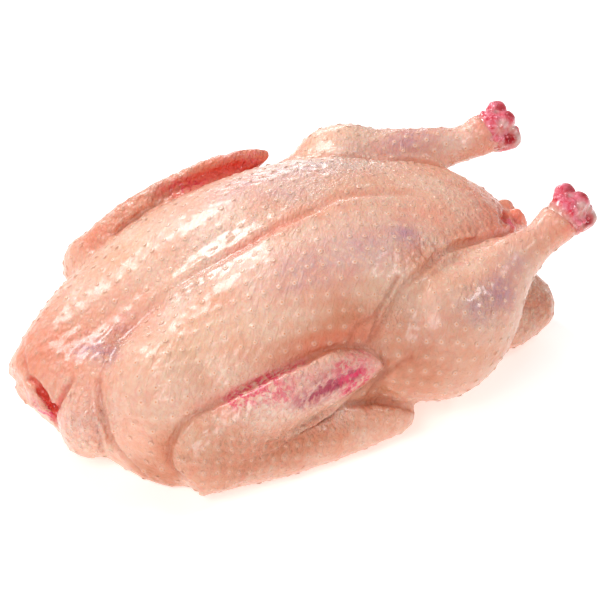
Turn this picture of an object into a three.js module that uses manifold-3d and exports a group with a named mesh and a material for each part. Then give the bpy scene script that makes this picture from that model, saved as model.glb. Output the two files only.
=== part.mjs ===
// A whole raw duck, plucked and drawn, lying on its back with its wings folded.
// Millimetres, +Z up. +X runs from the neck to the tail, and the breast is on top.
//
// The bird is shaped in a frame of its own, level and with y = 0 through its keel.
// It then leans a few degrees onto its right side, which is the -Y side, and rests
// there on a flat spot of its back. The carcass is one solid. The bare leg joints
// that stick out of the skin are solids of their own.

import * as THREE from 'three';
import { mergeVertices } from 'three/addons/utils/BufferGeometryUtils.js';
import Module from 'manifold-3d';

// ---------------------------------------------------------------- dimensions

const LENGTH = 320;                        // neck skin to leg joints
const DRAWN_LENGTH = 354.7;                // the same length in the units of the tables below
const SCALE = LENGTH / DRAWN_LENGTH;
const LEAN = THREE.MathUtils.degToRad(8);  // roll onto the right side
const LIFT = 10;                           // the bird's own origin above the table
const GAP = 0.3 / SCALE;                   // clearance round each seated leg joint

// The trunk, from the rim of the neck skin to the vent. `aside` moves a section
// sideways, and `groove` is how far the keel lies below the two breast lobes.
const TRUNK = [
  { x: 20, aside: 10, halfWidth: 16, top: 36, bottom: 15, groove: 0 },
  { x: 31, aside: 8, halfWidth: 31, top: 48, bottom: 11, groove: 0 },
  { x: 44, aside: 5, halfWidth: 45, top: 57, bottom: 4, groove: 2 },
  { x: 60, aside: 1, halfWidth: 63, top: 65, bottom: -5, groove: 8 },
  { x: 80, aside: -4, halfWidth: 81, top: 74, bottom: -14, groove: 12 },
  { x: 105, aside: -2, halfWidth: 88, top: 87, bottom: -16, groove: 13 },
  { x: 132, aside: 0, halfWidth: 89, top: 101, bottom: -17, groove: 11 },
  { x: 162, aside: 0, halfWidth: 89, top: 113, bottom: -17, groove: 7 },
  { x: 195, aside: 0, halfWidth: 88, top: 119, bottom: -17, groove: 2 },
  { x: 228, aside: 0, halfWidth: 84, top: 119, bottom: -16, groove: 0 },
  { x: 262, aside: 0, halfWidth: 75, top: 113, bottom: -15, groove: 0 },
  { x: 296, aside: 0, halfWidth: 60, top: 107, bottom: -13, groove: 0 },
  { x: 326, aside: 0, halfWidth: 46, top: 93, bottom: -8, groove: 0 },
  { x: 343, aside: 0, halfWidth: 31, top: 76, bottom: 2, groove: 0 },
];
const BREAST_SQUARENESS = 2.5;  // 2 is an ellipse, more is fuller at the corners
const BACK_SQUARENESS = 3.2;
const WAIST_LEVEL = 0.45;       // height of the widest line, as a share of a section's height
const GROOVE_WIDTH = 15;

// The left leg, from the thigh to the skin's edge. The right one is its mirror image,
// pressed down a little where the bird lies on it.
const LEG = [
  { at: [236, 66, 62], wide: 34, tall: 34 },
  { at: [258, 68, 64], wide: 38, tall: 43 },
  { at: [280, 66, 72], wide: 33, tall: 38 },
  { at: [301, 60, 85], wide: 22, tall: 22 },
  { at: [321, 55, 93], wide: 14, tall: 14 },
  { at: [337, 51, 96], wide: 10, tall: 11 },
  { at: [347, 48, 101], wide: 12, tall: 13 },
];
const RIGHT_THIGH_DROP = 12;

// The wings are folded in a Z: the forearm runs forward from the elbow to the wrist,
// and the hand runs back over it to a pointed tip.
const WINGS = [
  { side: 1, wrist: [95, 88, 36], elbow: [214, 88, 32], tip: [213, 91, 89] },
  { side: -1, wrist: [102, -87, 26], elbow: [223, -89, 20], tip: [206, -88, 71] },
];
const FOREARM = [
  { along: 0, wide: 19, tall: 22, out: 0, up: 0 },
  { along: 0.35, wide: 18, tall: 18, out: 2, up: -3 },
  { along: 0.7, wide: 15, tall: 16, out: 2, up: -1 },
  { along: 1, wide: 12, tall: 12, out: 0, up: 0 },
];
const HAND = [
  { along: 0.04, wide: 15, tall: 18, out: 0, up: 4 },
  { along: 0.22, wide: 12, tall: 18, out: 1, up: 11 },
  { along: 0.45, wide: 10, tall: 17, out: 1, up: 12 },
  { along: 0.68, wide: 8, tall: 15, out: 1, up: 9 },
  { along: 0.84, wide: 7, tall: 12, out: 0, up: 5 },
  { along: 0.96, wide: 5, tall: 7, out: 0, up: 2 },
  { along: 1.01, wide: 3, tall: 4, out: 0, up: 1 },
];

// The front of the right breast lobe bulges past the neck, and the loose crop skin
// hangs in a fold between the two.
const LOBE_FRONT = { at: [98, -43, 40], half: [45, 45, 43] };
const CROP_FOLD = { at: [47, -36, 28], half: [17, 20, 24] };

// The broad short tail, turned a little to the right.
const TAIL = [
  { at: [322, -12, 12], wide: 38, tall: 24 },
  { at: [341, -18, 12], wide: 35, tall: 21 },
  { at: [358, -21, 14], wide: 26, tall: 15 },
];

// Each hollow runs inwards from the rim.
const NECK_HOLLOW = [
  { at: [4, 5, 22], wide: 16, tall: 9 },
  { at: [34, 4, 26], wide: 16, tall: 10 },
  { at: [66, 2, 30], wide: 11, tall: 8 },
];
const VENT_HOLLOW = [
  { at: [372, 0, 64], wide: 9, tall: 8 },
  { at: [340, 0, 63], wide: 9, tall: 8 },
  { at: [306, 0, 60], wide: 8, tall: 7 },
];

// The bare end of the leg bone: a shaft in the skin's sleeve, and knobs on its end.
const HOCK = { at: [355, 46, 105], inward: [-0.86, 0.16, -0.48] };
const SHAFT = { radius: 7, depth: 20 };
const KNOBS = [
  { out: 0, across: 0, over: 0, radius: 13 },
  { out: 3, across: 6, over: 7, radius: 9.5 },
  { out: 3, across: -6, over: 7, radius: 9.5 },
  { out: 5, across: 6, over: -5, radius: 9.5 },
  { out: 5, across: -5, over: -7, radius: 9.5 },
];

const TRUNK_RINGS = 28;
const TRUNK_SIDES = 42;
const BALL_SIDES = 16;
const BALL_BANDS = 12;
const KNOB_SIDES = 12;
const KNOB_BANDS = 8;

// ---------------------------------------------------------------- shapes

const UP = new THREE.Vector3(0, 0, 1);

// A smooth curve through the rows of a table, as a function of the first column.
function smoothTable(rows) {
  const places = rows.map((row) => row[0]);
  const values = rows.flatMap((row) => row.slice(1));
  const curve = new THREE.CubicInterpolant(places, values, rows[0].length - 1);
  return (place) => Array.from(curve.evaluate(place));
}

// A closed skin over rings of points that run the same way round.
function skinOver(rings) {
  const sides = rings[0].length;
  const points = rings.flat();
  const faces = [];
  for (let ring = 0; ring + 1 < rings.length; ring++) {
    for (let side = 0; side < sides; side++) {
      const here = ring * sides + side;
      const next = ring * sides + ((side + 1) % sides);
      faces.push(here, next, next + sides, here, next + sides, here + sides);
    }
  }
  const closeEnd = (first, outward) => {
    const middle = new THREE.Vector3();
    for (let side = 0; side < sides; side++) middle.addScaledVector(points[first + side], 1 / sides);
    points.push(middle);
    for (let side = 0; side < sides; side++) {
      const edge = [first + side, first + ((side + 1) % sides)];
      if (!outward) edge.reverse();
      faces.push(points.length - 1, ...edge);
    }
  };
  closeEnd(0, false);
  closeEnd((rings.length - 1) * sides, true);
  const skin = new THREE.BufferGeometry().setFromPoints(points);
  skin.setIndex(faces);
  return skin;
}

// A fleshy limb through a list of places, with an oval section and round ends.
function limb(places, { sides = 16, rings = 10, capRings = 3 } = {}) {
  const centres = places.map((place) => new THREE.Vector3(...place.at));
  let travelled = 0;
  const rows = places.map(({ wide, tall }, i) => {
    if (i > 0) travelled += centres[i].distanceTo(centres[i - 1]);
    return [travelled, ...centres[i].toArray(), wide, tall];
  });
  const sectionAt = smoothTable(rows);
  const placeAt = (distance) => new THREE.Vector3(...sectionAt(distance).slice(0, 3));
  const headingAt = (distance) => {
    const step = travelled / 100;
    const before = placeAt(Math.max(distance - step, 0));
    return placeAt(Math.min(distance + step, travelled)).sub(before).normalize();
  };
  const ring = (distance, slide, shrink) => {
    const [x, y, z, wide, tall] = sectionAt(distance);
    const heading = headingAt(distance);
    const across = new THREE.Vector3().crossVectors(UP, heading).normalize();
    const over = new THREE.Vector3().crossVectors(heading, across);
    const middle = new THREE.Vector3(x, y, z).addScaledVector(heading, slide);
    return Array.from({ length: sides }, (_, side) => {
      const turn = (2 * Math.PI * side) / sides;
      return middle.clone()
        .addScaledVector(across, wide * shrink * Math.cos(turn))
        .addScaledVector(over, tall * shrink * Math.sin(turn));
    });
  };
  const roundOff = (distance, way) => {
    const [, , , wide, tall] = sectionAt(distance);
    const reach = Math.min(wide, tall);
    return Array.from({ length: capRings }, (_, i) => {
      const angle = (Math.PI / 2) * ((i + 1) / (capRings + 0.5));
      return ring(distance, way * reach * Math.sin(angle), Math.cos(angle));
    });
  };
  const body = Array.from({ length: rings }, (_, i) => ring((travelled * i) / (rings - 1), 0, 1));
  return skinOver([...roundOff(0, -1).reverse(), ...body, ...roundOff(travelled, 1)]);
}

// A ball of skin, flattened to the three half sizes.
function pad({ at, half }) {
  const ball = new THREE.SphereGeometry(1, BALL_SIDES, BALL_BANDS);
  ball.scale(...half);
  ball.translate(...at);
  return ball;
}

function mirrored([x, y, z], side) {
  return [x, y * side, z];
}

// ---------------------------------------------------------------- the bird's masses

function trunk() {
  const sectionAt = smoothTable(
    TRUNK.map(({ x, aside, halfWidth, top, bottom, groove }) => [
      x, aside, halfWidth, top, bottom, groove,
    ]),
  );
  const bulge = (value, squareness) => Math.sign(value) * Math.abs(value) ** (2 / squareness);
  const ring = (x, slide, shrink) => {
    const [aside, halfWidth, top, bottom, groove] = sectionAt(x);
    const waist = bottom + WAIST_LEVEL * (top - bottom);
    return Array.from({ length: TRUNK_SIDES }, (_, side) => {
      const turn = (2 * Math.PI * side) / TRUNK_SIDES;
      const rise = Math.sin(turn);
      const squareness = rise > 0 ? BREAST_SQUARENESS : BACK_SQUARENESS;
      const across = halfWidth * shrink * bulge(Math.cos(turn), squareness);
      const reach = rise > 0 ? top - waist : waist - bottom;
      const dip = rise > 0 ? groove * Math.exp(-((across / GROOVE_WIDTH) ** 2)) : 0;
      return new THREE.Vector3(
        x + slide,
        aside + across,
        waist + reach * shrink * bulge(rise, squareness) - dip,
      );
    });
  };
  const first = TRUNK[0].x;
  const last = TRUNK[TRUNK.length - 1].x;
  const rings = Array.from({ length: TRUNK_RINGS }, (_, i) =>
    ring(first + ((last - first) * i) / (TRUNK_RINGS - 1), 0, 1));
  for (const angle of [0.35, 0.75, 1.15]) {
    rings.push(ring(last, 14 * Math.sin(angle), Math.cos(angle)));
  }
  return skinOver(rings);
}

function leg(side) {
  const drop = side < 0 ? RIGHT_THIGH_DROP : 0;
  const lastPlace = LEG.length - 1;
  const places = LEG.map(({ at, wide, tall }, i) => {
    const [x, y, z] = mirrored(at, side);
    return { at: [x, y, z - drop * (1 - i / lastPlace) ** 2], wide, tall };
  });
  return limb(places, { sides: 22, rings: 16 });
}

// Places a wing segment's sections between two of the wing's joints.
function wingSegment(from, to, sections, side) {
  const start = new THREE.Vector3(...from);
  const end = new THREE.Vector3(...to);
  const places = sections.map(({ along, wide, tall, out, up }) => {
    const place = start.clone().lerp(end, along);
    return { at: [place.x, place.y + out * side, place.z + up], wide, tall };
  });
  return limb(places);
}

// ---------------------------------------------------------------- joining

const wasm = await Module();
wasm.setup();

function solid(geometry) {
  const bare = geometry.clone();
  bare.deleteAttribute('normal');
  bare.deleteAttribute('uv');
  const merged = mergeVertices(bare, 1e-4);
  return new wasm.Manifold(new wasm.Mesh({
    numProp: 3,
    vertProperties: merged.attributes.position.array,
    triVerts: new Uint32Array(merged.index.array),
  }));
}

function join(solids) {
  return solids.reduce((whole, piece) => whole.add(piece));
}

function geometryOf(whole) {
  const { vertProperties, triVerts } = whole.getMesh();
  const geometry = new THREE.BufferGeometry();
  geometry.setAttribute('position', new THREE.BufferAttribute(vertProperties, 3));
  geometry.setIndex(new THREE.BufferAttribute(triVerts, 1));
  geometry.computeVertexNormals();
  return geometry;
}

// The bare leg joint, `grown` all round. The same shape, grown by the gap, is cut
// from the skin to seat it.
function hock(side, grown) {
  const at = new THREE.Vector3(...mirrored(HOCK.at, side));
  const inward = new THREE.Vector3(...mirrored(HOCK.inward, side)).normalize();
  const outward = inward.clone().negate();
  const across = new THREE.Vector3().crossVectors(UP, outward).normalize();
  const over = new THREE.Vector3().crossVectors(outward, across);
  const knobs = KNOBS.map(({ out, across: sideways, over: upwards, radius }) => {
    const ball = new THREE.SphereGeometry(radius + grown, KNOB_SIDES, KNOB_BANDS);
    const middle = at.clone()
      .addScaledVector(outward, out)
      .addScaledVector(across, sideways)
      .addScaledVector(over, upwards);
    ball.translate(...middle.toArray());
    return solid(ball);
  });
  const shaft = new THREE.CylinderGeometry(
    SHAFT.radius + grown,
    SHAFT.radius + grown,
    SHAFT.depth + grown,
    KNOB_SIDES,
  );
  shaft.translate(0, (SHAFT.depth + grown) / 2, 0);
  shaft.applyQuaternion(new THREE.Quaternion().setFromUnitVectors(new THREE.Vector3(0, 1, 0), inward));
  shaft.translate(...at.toArray());
  return join([...knobs, solid(shaft)]);
}

// Everything under the table's top, in the bird's own frame.
function underTable(leaning) {
  const block = new THREE.BoxGeometry(800, 600, 100);
  block.translate(180, 0, -50);
  return solid(block.applyMatrix4(leaning.clone().invert()));
}

function carcass(leaning) {
  const masses = [trunk(), limb(TAIL, { sides: 20, rings: 6 }), pad(CROP_FOLD), pad(LOBE_FRONT)];
  for (const side of [1, -1]) masses.push(leg(side));
  for (const { side, wrist, elbow, tip } of WINGS) {
    masses.push(wingSegment(wrist, elbow, FOREARM, side));
    masses.push(wingSegment(wrist, tip, HAND, side));
  }
  const hollows = [NECK_HOLLOW, VENT_HOLLOW].map((places) =>
    solid(limb(places, { sides: 14, rings: 5, capRings: 2 })));
  return join(masses.map(solid))
    .subtract(join([...hollows, hock(1, GAP), hock(-1, GAP), underTable(leaning)]));
}

// ---------------------------------------------------------------- the duck

const skin = new THREE.MeshStandardMaterial({ color: '#efc9b0', roughness: 0.45, metalness: 0 });
const cartilage = new THREE.MeshStandardMaterial({ color: '#c4475c', roughness: 0.3, metalness: 0 });

const leaning = new THREE.Group();
leaning.rotation.x = LEAN;
leaning.position.z = LIFT;
leaning.updateMatrix();

function addPiece(name, whole, material) {
  const mesh = new THREE.Mesh(geometryOf(whole), material.clone());
  mesh.name = name;
  leaning.add(mesh);
}

addPiece('carcass', carcass(leaning.matrix), skin);
addPiece('left_hock', hock(1, 0), cartilage);
addPiece('right_hock', hock(-1, 0), cartilage);

// The duck's origin is the middle of its footprint, on the table.
const duck = new THREE.Group();
duck.scale.setScalar(SCALE);
duck.add(leaning);
const footprint = new THREE.Box3().setFromObject(duck, true).getCenter(new THREE.Vector3());
leaning.position.x = -footprint.x / SCALE;
leaning.position.y = -footprint.y / SCALE;

export default duck;
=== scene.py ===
"""A whole raw duck that lies on its back: skin, follicle buds and bare leg joints.

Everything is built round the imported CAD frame, in metres, with +X towards the tail.
"""

import itertools
import math
from typing import NamedTuple

import bpy
import numpy as np
import openvdb
from bpy.props import FloatProperty, FloatVectorProperty, IntProperty, PointerProperty
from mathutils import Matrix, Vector, kdtree
from mathutils.bvhtree import BVHTree


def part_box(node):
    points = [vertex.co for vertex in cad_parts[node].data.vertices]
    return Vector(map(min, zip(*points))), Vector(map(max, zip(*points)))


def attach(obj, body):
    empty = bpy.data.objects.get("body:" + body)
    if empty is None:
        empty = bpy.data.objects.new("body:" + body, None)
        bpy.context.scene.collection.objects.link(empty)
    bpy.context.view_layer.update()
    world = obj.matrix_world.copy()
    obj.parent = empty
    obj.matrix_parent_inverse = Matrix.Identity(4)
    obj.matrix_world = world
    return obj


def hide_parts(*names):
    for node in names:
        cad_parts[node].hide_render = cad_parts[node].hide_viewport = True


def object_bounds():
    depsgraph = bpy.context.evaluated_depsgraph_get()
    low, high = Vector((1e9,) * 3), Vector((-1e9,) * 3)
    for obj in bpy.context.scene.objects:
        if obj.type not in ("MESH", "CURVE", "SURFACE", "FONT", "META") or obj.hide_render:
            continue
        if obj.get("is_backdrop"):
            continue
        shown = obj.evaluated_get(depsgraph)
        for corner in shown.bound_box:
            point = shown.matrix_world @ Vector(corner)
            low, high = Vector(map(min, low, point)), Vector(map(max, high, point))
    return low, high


bl_info = {
    "name": "Raw duck",
    "version": (1, 0, 0),
    "blender": (4, 5, 0),
    "location": "View3D > Sidebar > Duck",
    "description": "Makes the skin, follicle buds and bare joints of a dressed duck",
    "category": "Add Mesh",
}

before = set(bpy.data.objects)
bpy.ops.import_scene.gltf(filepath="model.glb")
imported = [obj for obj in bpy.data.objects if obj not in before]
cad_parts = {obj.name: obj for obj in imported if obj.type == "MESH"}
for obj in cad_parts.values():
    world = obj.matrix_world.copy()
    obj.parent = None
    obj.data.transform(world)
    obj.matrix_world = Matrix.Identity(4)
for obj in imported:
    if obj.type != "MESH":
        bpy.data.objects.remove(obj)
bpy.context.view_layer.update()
BODY_LOW, BODY_HIGH = (np.array(corner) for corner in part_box("carcass"))
BODY_SIZE = BODY_HIGH - BODY_LOW
MM = 0.001

# The bird leans onto its right side. Its plane of symmetry passes through MIDLINE,
# a point in thousandths of the carcass box, and is square to ACROSS.
LEAN = math.radians(8)
MIDLINE = (500, 524, 77)
ACROSS = np.array([0.0, math.cos(LEAN), math.sin(LEAN)])
# Fine wrinkles of the breast and wings run up and back.
WRINKLES_ALONG = (0.55, 0.58, 0.6)
# The first follicles, one on each side of the breast, in thousandths of the carcass box.
ROW_STARTS = ((420, 360, 860), (420, 550, 920))


def place(thousandths):
    """Points given in thousandths of the carcass box, in metres."""
    return BODY_LOW + np.asarray(thousandths, float) / 1000 * BODY_SIZE


def twin(points):
    """The same points on the other side of the bird."""
    away = (points - place(MIDLINE)) @ ACROSS
    return points - 2 * np.multiply.outer(away, ACROSS)


class Patch(NamedTuple):
    """A soft-edged area: its middle in thousandths of the carcass box, half sizes in mm."""

    at: tuple
    size: tuple
    strength: float = 1.0
    both: bool = False

    def spots(self):
        """Its middle, and that of its twin where it has one, each with the half sizes."""
        middle = place(self.at)
        middles = (middle, twin(middle)) if self.both else (middle,)
        return [(middle, np.array(self.size) * MM) for middle in middles]


def patches(*rows):
    """Patches from rows of three numbers of the middle, three sizes, strength and both."""
    return tuple(Patch(row[:3], row[3:6], *row[6:]) for row in rows)


class Fold(NamedTuple):
    """A groove pressed into the skin along points in thousandths of the carcass box.

    Width, depth and the height of the lips beside it are in mm, painted_shade is how far
    the groove is darkened with painted shade, and both repeats it on the other side.
    """

    points: tuple
    width: float
    depth: float
    lip: float = 0.0
    # How much painted shade is laid along the groove, 0 to 1.
    painted_shade: float = 1.0
    both: bool = False


class Roll(NamedTuple):
    """A bead of flesh laid along points in thousandths of the carcass box.

    Radius and blend, the size of the web that joins it, are in mm. A sink, in mm,
    lays the line on the skin and then so far under it. A hollow roll is cut out of
    the flesh instead.
    """

    points: tuple
    radius: float
    blend: float
    sink: float = None
    hollow: bool = False
    both: bool = False


class Raised(NamedTuple):
    """An area inside a closed outline, in thousandths of the carcass box, that stands proud.

    A slope of one edge width goes down to the skin round it. The height changes from
    nothing at the bare distance from the outline's first point to all of it at the full
    distance. Each of these is in mm.
    """

    outline: tuple
    height: float
    edge: float
    bare: float
    full: float


FOLDS = (
    # Along the keel of the breast, deep over the middle and faint towards the belly.
    Fold(((249, 462, 689), (286, 454, 744), (320, 444, 793), (354, 433, 837), (388, 425, 879),
          (431, 427, 921), (472, 430, 952), (514, 435, 971), (551, 451, 980)), 2.3, 1.8, 0.5, 0.1),
    Fold(((551, 451, 980), (592, 458, 977), (647, 451, 954), (703, 441, 922), (732, 410, 903)), 2.4, 0.9,
          0.5, 0.0),
    # The valley between the right breast lobe and the neck skin.
    Fold(((249, 462, 689), (221, 452, 644), (192, 443, 600), (158, 417, 556), (130, 370, 546),
          (111, 337, 505)), 3.8, 2.6, 0.6, 0.0),
    # Between the leg and the belly, and the creases that run down from it.
    Fold(((531, 102, 610), (546, 113, 654), (572, 132, 702), (589, 149, 733), (606, 168, 762),
          (621, 177, 768), (658, 205, 782), (700, 240, 791), (739, 260, 785), (778, 273, 757),
          (827, 305, 731), (880, 357, 676)), 1.5, 3.4, 1.0, 0.75, True),
    Fold(((738, 258, 786), (758, 268, 776), (775, 273, 760)), 1.8, 3.2, 0.4, 1.0, True),
    Fold(((597, 181, 790), (567, 149, 750), (545, 128, 708), (531, 111, 655), (520, 99, 594)), 1.1, 1.7,
          0.5, 0.7, True),
    Fold(((555, 139, 729), (526, 120, 689), (504, 116, 684), (491, 108, 650), (478, 96, 604)), 1.1, 1.6,
          0.5, 0.6, True),
    Fold(((570, 140, 720), (540, 118, 665), (520, 100, 610), (505, 90, 570)), 1.0, 1.2, 0.4, 0.4, True),
    Fold(((517, 96, 300), (536, 94, 377), (560, 65, 460), (585, 55, 495)), 1.1, 1.4, 0.4, 0.6),
    # Pleats where the belly skin is gathered above the leg, drawn in to one pit.
    Fold(((721, 299, 844), (719, 275, 825), (716, 259, 804)), 0.9, 0.9, 0.4, 0.3, True),
    Fold(((742, 301, 833), (743, 280, 813), (738, 265, 793)), 0.9, 1.2, 0.5, 0.4, True),
    Fold(((758, 305, 825), (760, 285, 805), (754, 270, 785)), 0.9, 1.4, 0.5, 0.5, True),
    Fold(((775, 304, 807), (768, 285, 790), (758, 271, 781)), 0.9, 1.4, 0.5, 0.5, True),
    Fold(((795, 310, 790), (780, 288, 778), (762, 272, 777)), 0.9, 1.2, 0.4, 0.5, True),
    Fold(((687, 271, 840), (690, 250, 820), (688, 236, 798)), 0.9, 0.8, 0.3, 0.2, True),
    Fold(((663, 254, 842), (662, 235, 817), (664, 215, 792)), 0.9, 0.7, 0.3, 0.15, True),
    Fold(((635, 238, 845), (641, 215, 812), (643, 197, 782)), 0.9, 0.7, 0.3, 0.15, True),
    Fold(((843, 404, 800), (832, 342, 770), (813, 304, 753)), 1.0, 1.0, 0.4, 0.4, True),
    Fold(((882, 455, 738), (864, 386, 745), (850, 345, 735)), 1.0, 1.2, 0.4, 0.5),
    # Round the crop skin, and the dimple in it.
    Fold(((66, 385, 448), (55, 382, 412), (44, 382, 365), (35, 390, 309), (32, 401, 246)), 1.5, 2.2, 0.8,
          0.6),
    Fold(((100, 330, 480), (96, 314, 452), (94, 291, 410), (91, 274, 371), (92, 259, 319), (100, 249, 242),
          (108, 235, 190), (117, 220, 149), (130, 200, 100), (140, 191, 61)), 1.4, 2.8, 0.9, 0.7),
    Fold(((61, 254, 281), (77, 248, 260)), 1.2, 1.6, 0.4, 0.5),
    Fold(((75, 254, 327), (77, 248, 270), (78, 250, 230), (82, 258, 176)), 1.3, 2.0, 0.5, 0.6),
    # The lip of the neck skin.
    Fold(((18, 571, 417), (13, 552, 398), (12, 516, 387)), 1.3, 1.6, 0.5, 0.5),
    # The near wing: its line on the body, round the wrist, under the tip and on the thigh.
    Fold(((216, 107, 450), (257, 106, 466), (299, 105, 507), (330, 104, 532), (363, 101, 560)), 1.5, 2.8,
          0.0, 0.9),
    Fold(((363, 101, 560), (407, 98, 590), (448, 98, 610), (476, 96, 597)), 1.4, 2.2, 0.0, 0.6),
    Fold(((183, 77, 160), (178, 114, 159), (168, 119, 202), (167, 118, 266), (171, 110, 332),
          (180, 107, 382), (194, 107, 425), (214, 109, 455)), 1.6, 3.6, 0.0, 0.9),
    Fold(((476, 96, 597), (499, 93, 576), (514, 69, 568), (528, 59, 543), (547, 88, 469), (542, 89, 433),
          (532, 92, 393), (517, 90, 366), (502, 90, 342), (486, 90, 317)), 1.2, 1.6, 0.0, 0.3),
    Fold(((479, 93, 286), (499, 96, 270), (526, 97, 243), (548, 84, 230), (571, 71, 212), (589, 63, 184)),
          1.3, 5.0, 0.0, 1.0),
    Fold(((459, 88, 306), (447, 91, 282), (420, 92, 266), (392, 80, 264)), 1.1, 1.0, 0.6, 0.3),
    Fold(((378, 34, 451), (400, 35, 481), (430, 37, 513), (472, 43, 533), (501, 50, 545)), 2.0, 2.2, 0.8,
          0.0),
    Fold(((410, 36, 470), (440, 40, 495), (478, 45, 512)), 1.0, 1.2, 0.6, 0.0),
    Fold(((431, 70, 575), (464, 55, 570), (490, 50, 555)), 0.9, 1.0, 0.5, 0.2),
    Fold(((182, 83, 182), (189, 56, 175), (197, 46, 151), (201, 56, 72)), 1.4, 1.8, 0.6, 0.4),
    # The grooves along the far wing.
    Fold(((324, 860, 785), (358, 858, 814), (396, 857, 839), (435, 857, 858), (474, 856, 867),
          (510, 858, 874)), 2.0, 3.0, 1.0, 0.8),
    Fold(((240, 840, 650), (270, 850, 690), (310, 850, 740), (340, 850, 770)), 1.4, 1.6, 0.6, 0.3),
)

# Puckers in the skin all round the vent.
PUCKERS = tuple(
    Fold(tuple((942, 487 + reach * math.cos(turn), 556 + 1.65 * reach * math.sin(turn))
               for reach in (30, 50, 75)), 0.9, 1.3, 0.6, 0.5)
    for turn in (0.2, 0.8, 1.5, 2.1, 2.9, 3.5, 4.2, 4.8, 5.6)
)

# Lips and flaps laid on the skin, and the openings cut between them.
ROLLS = (
    # The floor and the far wall of the neck's mouth, its lower lip and the slit over it.
    Roll(((12, 600, 190), (14, 520, 185), (30, 440, 170)), 5.0, 4.0),
    Roll(((50, 620, 170), (50, 500, 160), (60, 420, 160)), 5.5, 4.0),
    Roll(((12, 640, 260), (60, 640, 280)), 4.5, 3.0),
    Roll(((2, 610, 262), (3, 530, 270), (9, 463, 262), (20, 428, 225), (30, 405, 195)), 2.8, 2.0),
    Roll(((20, 630, 310), (20, 550, 325), (21, 490, 325), (26, 440, 300)), 5.0, 4.0),
    Roll(((12, 500, 370), (16, 479, 372), (20, 451, 358), (25, 426, 335), (30, 405, 310), (33, 394, 280)),
          2.4, 0.8, hollow=True),
    Roll(((22, 460, 340), (28, 430, 320), (34, 410, 290)), 3.0, 0.8, hollow=True),
    # The neck skin is drawn in under its lower lip.
    Roll(((-64, 639, 225), (-58, 609, 206), (-53, 574, 190), (-44, 515, 167), (-35, 460, 137),
          (-23, 415, 116)), 20.0, 2.0, hollow=True),
    # The flaps beside and under the vent, and the pit between them.
    Roll(((930, 489, 647), (933, 468, 638), (932, 442, 633), (933, 424, 621)), 2.2, 1.2, sink=0.6),
    Roll(((860, 349, 718), (880, 363, 687), (916, 413, 617)), 1.7, 1.0, sink=0.7),
    Roll(((870, 376, 722), (888, 409, 703), (900, 440, 685)), 2.6, 1.0, sink=1.3, hollow=True),
    # The flesh that narrows the vent from both sides.
    Roll(((924, 454, 480), (935, 451, 550), (924, 456, 630)), 4.2, 2.5),
    Roll(((924, 521, 480), (935, 525, 550), (924, 518, 630)), 4.2, 2.5),
    # The round of the far thigh.
    Roll(((640, 910, 985), (670, 915, 990), (710, 890, 995)), 18.0, 7.0, sink=15.8),
    # The edge of the near wing's hand, and the forearm beside the thigh.
    Roll(((229, 101, 412), (263, 97, 435), (302, 77, 496), (360, 65, 551), (404, 62, 578), (444, 66, 593)),
          4.0, 1.5, sink=2.6),
    Roll(((458, 91, 261), (475, 83, 258), (495, 76, 248), (524, 67, 230), (559, 58, 199), (579, 55, 174)),
          4.5, 2.5, sink=2.8),
)

RAISED = (
    # The hand of the near wing, from the wrist to its pointed tip.
    Raised(((202, 98, 379), (216, 105, 436), (236, 108, 447), (257, 104, 460), (278, 105, 485),
            (299, 103, 501), (330, 102, 526), (363, 99, 554), (387, 98, 571), (407, 96, 584),
            (428, 97, 597), (448, 96, 604), (462, 96, 598), (485, 93, 580), (502, 70, 577), (515, 60, 565),
            (540, 92, 478), (536, 90, 448), (526, 90, 418), (511, 90, 388), (496, 88, 366), (480, 89, 337),
            (460, 90, 301), (447, 92, 275), (418, 84, 265), (390, 71, 259), (353, 48, 247), (320, 30, 231),
            (270, 29, 245), (223, 49, 297)), 3.6, 2.2, 0, 75),
    # The round wrist.
    Raised(((171, 113, 245), (174, 109, 320), (183, 105, 372), (197, 104, 415), (216, 105, 440),
            (256, 105, 460), (300, 103, 500), (316, 53, 494), (325, 37, 341), (305, 17, 187),
            (267, 24, 118), (226, 37, 90), (206, 61, 63), (191, 54, 164), (182, 83, 182), (175, 113, 185)),
            4.2, 2.6, 48, 16),
)

# Where seams between the masses melt away, as loose skin does, and where they stay crisp.
SOFT = patches(
    (660, 200, 770, 30, 10, 10, 0.15, True), (930, 420, 400, 14, 26, 24, 0.8),
    (800, 440, 800, 24, 22, 20, 0.8), (100, 500, 600, 24, 30, 24, 0.8),
    (140, 260, 200, 12, 14, 16, 0.5), (600, 480, 50, 60, 60, 14),
)
CRISP = patches(
    (400, 50, 400, 60, 16, 32), (220, 60, 250, 24, 16, 28), (560, 50, 200, 30, 14, 18),
    (300, 900, 650, 50, 16, 30), (500, 900, 860, 36, 14, 16), (20, 480, 320, 14, 24, 14),
    (900, 420, 680, 12, 14, 12), (930, 220, 830, 14, 18, 16, 1.0, True),
)

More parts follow.
